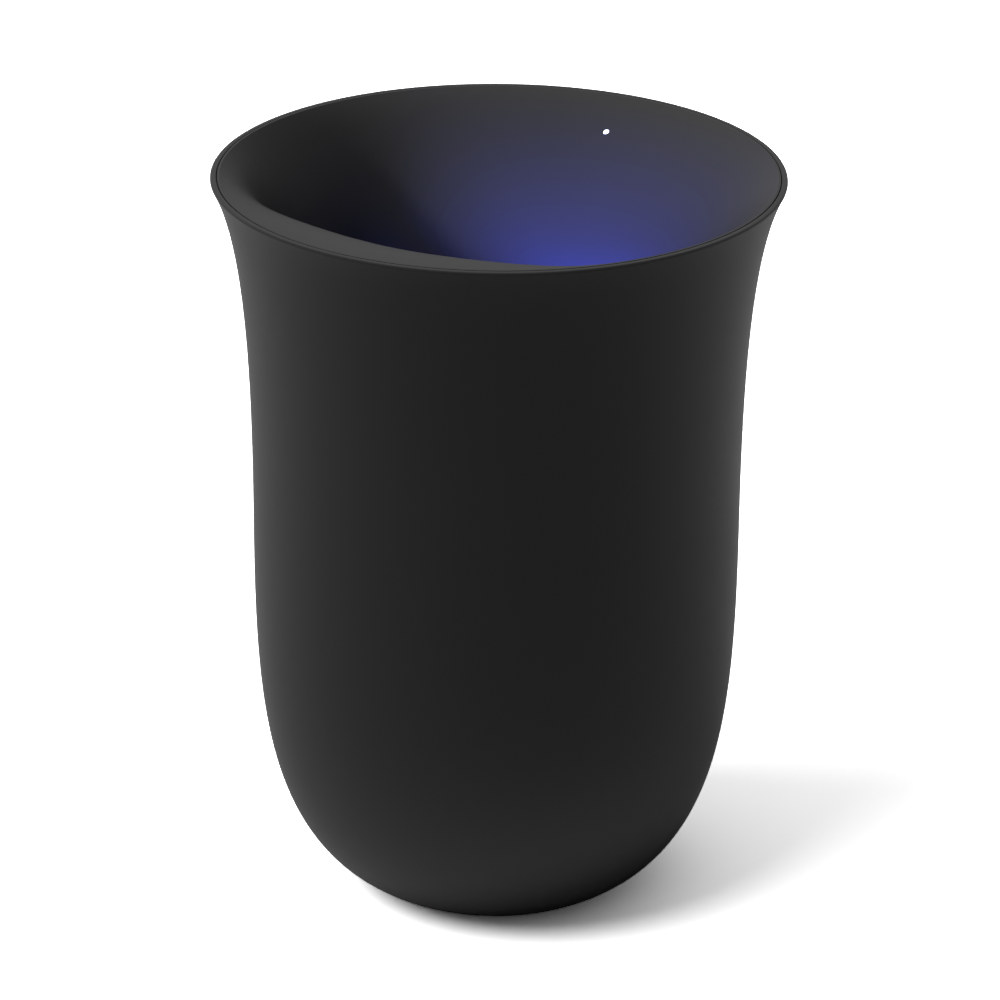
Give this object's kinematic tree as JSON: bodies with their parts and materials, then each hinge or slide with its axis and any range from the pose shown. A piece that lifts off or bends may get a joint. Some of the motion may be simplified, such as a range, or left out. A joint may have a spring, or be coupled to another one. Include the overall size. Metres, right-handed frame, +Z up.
{
  "type": "sanitizing charging station",
  "caption": "Vase-shaped tabletop phone sanitizer and wireless charger: flared round rim, oblong well with ultraviolet lamp, charging coil, power inlet and start button.",
  "frame": {"origin": "centre of the foot on the table", "axes": "+Z up, -Y to the front of the well, +Y to the rear with the power inlet, X along the well"},
  "size_m": [0.13, 0.13, 0.174],
  "materials": {
    "shell_charcoal": "soft-touch charcoal, fine grain",
    "liner_charcoal": "fine-grained charcoal moulding",
    "cover_black": "black moulding",
    "silicone": "matte black silicone",
    "screw_steel": "zinc-plated steel",
    "board_green": "green solder mask",
    "board_white": "white solder mask",
    "chip_black": "moulded chip package",
    "ferrite": "sintered ferrite, dark grey",
    "copper": "enamelled copper",
    "can_metal": "plain can",
    "inlet_metal": "drawn steel tube",
    "switch_black": "moulded switch housing",
    "plunger_white": "moulded plunger",
    "button_charcoal": "soft-touch charcoal",
    "quartz": "polished quartz",
    "emitter": "lensed lamp chip",
    "light_pipe": "clear pipe, lit white",
    "lamp": "white lamp chip",
    "carrier_grey": "dark grey moulding",
    "socket_ivory": "ivory nylon",
    "lead_black": "black jacket"
  },
  "bodies": {
    "housing": {"outer_shell": "shell_charcoal", "inner_liner": "liner_charcoal", "base_cover": "cover_black", "foot_pad": "silicone", "base_screws": "screw_steel", "rest_pad": "silicone", "main_board": "board_green", "board_screws": "screw_steel", "controller_chip": "chip_black", "charger_chip": "chip_black", "power_choke": "ferrite", "capacitors": "can_metal", "usb_socket_shell": "inlet_metal", "usb_socket_tongue": "chip_black", "button_board": "board_green", "tact_switch": "switch_black", "uv_window": "quartz", "uv_gasket": "silicone", "uv_board": "board_white", "uv_emitters": "emitter", "uv_board_screws": "screw_steel", "status_light_pipe": "light_pipe", "status_lamp": "lamp", "status_board": "board_green", "status_board_screw": "screw_steel", "charging_coil": "copper", "ferrite_plate": "ferrite", "coil_carrier": "carrier_grey", "coil_carrier_screws": "screw_steel", "uv_lead": "lead_black", "coil_lead": "lead_black", "status_lead": "lead_black", "lead_sockets": "socket_ivory"},
    "button": {"start_button": "button_charcoal", "switch_plunger": "plunger_white"}
  },
  "joints": [
    {"name": "start_button_press", "type": "slide", "parent": "housing", "child": "button", "axis": [0, -1, 0], "range_m": [0, 0.0005], "stiffness_N_per_m": 1500}
  ]
}
